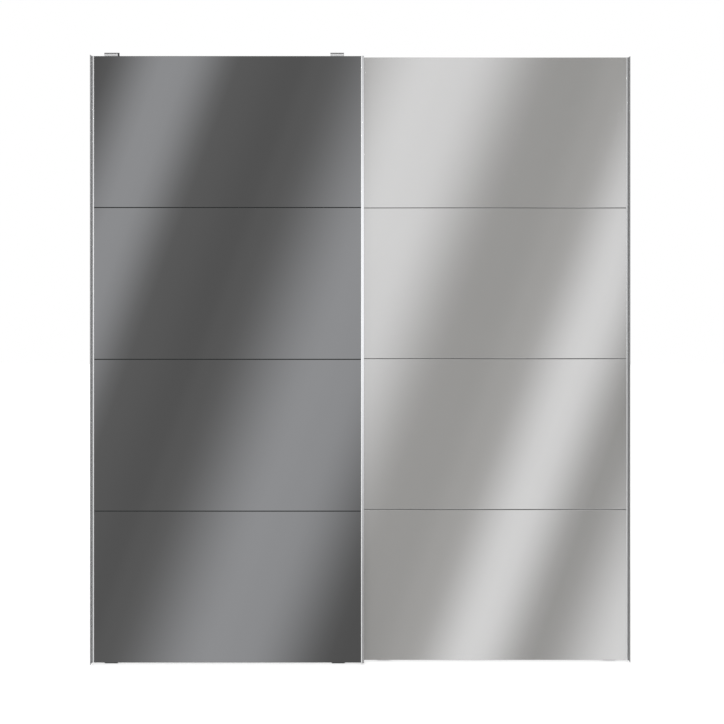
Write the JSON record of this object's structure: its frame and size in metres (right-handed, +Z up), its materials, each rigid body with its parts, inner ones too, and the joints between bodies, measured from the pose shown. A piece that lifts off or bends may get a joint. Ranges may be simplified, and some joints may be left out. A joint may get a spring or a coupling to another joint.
{
  "type": "pair of sliding wardrobe doors",
  "caption": "Pair of top-hung sliding wardrobe doors with stacked mirror panes, smoked and clear, in slim aluminium uprights with a finger fin, on roller hangers with bottom guides.",
  "frame": {"origin": "under the middle of the closed pair, at the height of the front door's bottom guides' lowest face", "axes": "+X to the right as seen from the room, +Y from the room into the wardrobe, +Z up"},
  "size_m": [2, 0.103, 2.2762],
  "materials": {
    "stile_aluminium": "satin anodised aluminium extrusion",
    "rail_aluminium": "mill finish aluminium extrusion",
    "smoked_mirror": "polished smoked grey mirror glass",
    "clear_mirror": "polished clear silver mirror glass",
    "backing_board": "bare fibre board",
    "dark_bar": "dark anodised aluminium, satin",
    "zinc_steel": "zinc plated pressed steel",
    "screw_steel": "bright turned steel",
    "black_plastic": "black moulded nylon, fine grain",
    "wheel_plastic": "dark grey acetal, smooth tread",
    "brush_pile": "grey polypropylene pile"
  },
  "bodies": {
    "rear_door": {"rear_handle_stile": "stile_aluminium", "rear_slim_stile": "stile_aluminium", "rear_top_rail": "rail_aluminium", "rear_bottom_rail": "rail_aluminium", "rear_mirror_top": "clear_mirror", "rear_mirror_upper": "clear_mirror", "rear_mirror_lower": "clear_mirror", "rear_mirror_bottom": "clear_mirror", "rear_board_top": "backing_board", "rear_board_upper": "backing_board", "rear_board_lower": "backing_board", "rear_board_bottom": "backing_board", "rear_joint_bar_top": "dark_bar", "rear_joint_bar_middle": "dark_bar", "rear_joint_bar_bottom": "dark_bar", "rear_frame_screws": "screw_steel", "rear_hanger_outer": "zinc_steel", "rear_hanger_inner": "zinc_steel", "rear_hanger_screws": "screw_steel", "rear_axle_outer": "screw_steel", "rear_axle_inner": "screw_steel", "rear_guide_outer": "black_plastic", "rear_guide_inner": "black_plastic", "rear_guide_screws": "screw_steel"},
    "front_door": {"front_handle_stile": "stile_aluminium", "front_slim_stile": "stile_aluminium", "front_top_rail": "rail_aluminium", "front_bottom_rail": "rail_aluminium", "front_mirror_top": "smoked_mirror", "front_mirror_upper": "smoked_mirror", "front_mirror_lower": "smoked_mirror", "front_mirror_bottom": "smoked_mirror", "front_board_top": "backing_board", "front_board_upper": "backing_board", "front_board_lower": "backing_board", "front_board_bottom": "backing_board", "front_joint_bar_top": "dark_bar", "front_joint_bar_middle": "dark_bar", "front_joint_bar_bottom": "dark_bar", "front_frame_screws": "screw_steel", "front_pile_strip": "brush_pile", "front_hanger_outer": "zinc_steel", "front_hanger_inner": "zinc_steel", "front_hanger_cap_outer": "black_plastic", "front_hanger_cap_inner": "black_plastic", "front_hanger_screws": "screw_steel", "front_axle_outer": "screw_steel", "front_axle_inner": "screw_steel", "front_guide_outer": "black_plastic", "front_guide_inner": "black_plastic", "front_guide_screws": "screw_steel"},
    "front_outer_roller": {"front_wheel_outer": "wheel_plastic", "front_bearing_outer": "screw_steel"},
    "front_inner_roller": {"front_wheel_inner": "wheel_plastic", "front_bearing_inner": "screw_steel"},
    "rear_outer_roller": {"rear_wheel_outer": "wheel_plastic", "rear_bearing_outer": "screw_steel"},
    "rear_inner_roller": {"rear_wheel_inner": "wheel_plastic", "rear_bearing_inner": "screw_steel"}
  },
  "joints": [
    {"name": "front_door_slide", "type": "slide", "parent": "rear_door", "child": "front_door", "axis": [1, 0, 0], "range_m": [0, 0.978]},
    {"name": "front_outer_roll", "type": "hinge", "parent": "front_door", "child": "front_outer_roller", "pos_m": [-0.93, 0.0455, 2.234], "axis": [0, 1, 0], "continuous": true},
    {"name": "front_inner_roll", "type": "hinge", "parent": "front_door", "child": "front_inner_roller", "pos_m": [-0.089, 0.0455, 2.234], "axis": [0, 1, 0], "continuous": true},
    {"name": "rear_outer_roll", "type": "hinge", "parent": "rear_door", "child": "rear_outer_roller", "pos_m": [0.93, 0.0295, 2.234], "axis": [0, 1, 0], "continuous": true},
    {"name": "rear_inner_roll", "type": "hinge", "parent": "rear_door", "child": "rear_inner_roller", "pos_m": [0.089, 0.0295, 2.234], "axis": [0, 1, 0], "continuous": true}
  ],
  "couplings": [
    {"joint": "front_outer_roll", "follows": "front_door_slide", "rad_per_m": 90.909},
    {"joint": "front_inner_roll", "follows": "front_door_slide", "rad_per_m": 90.909}
  ]
}
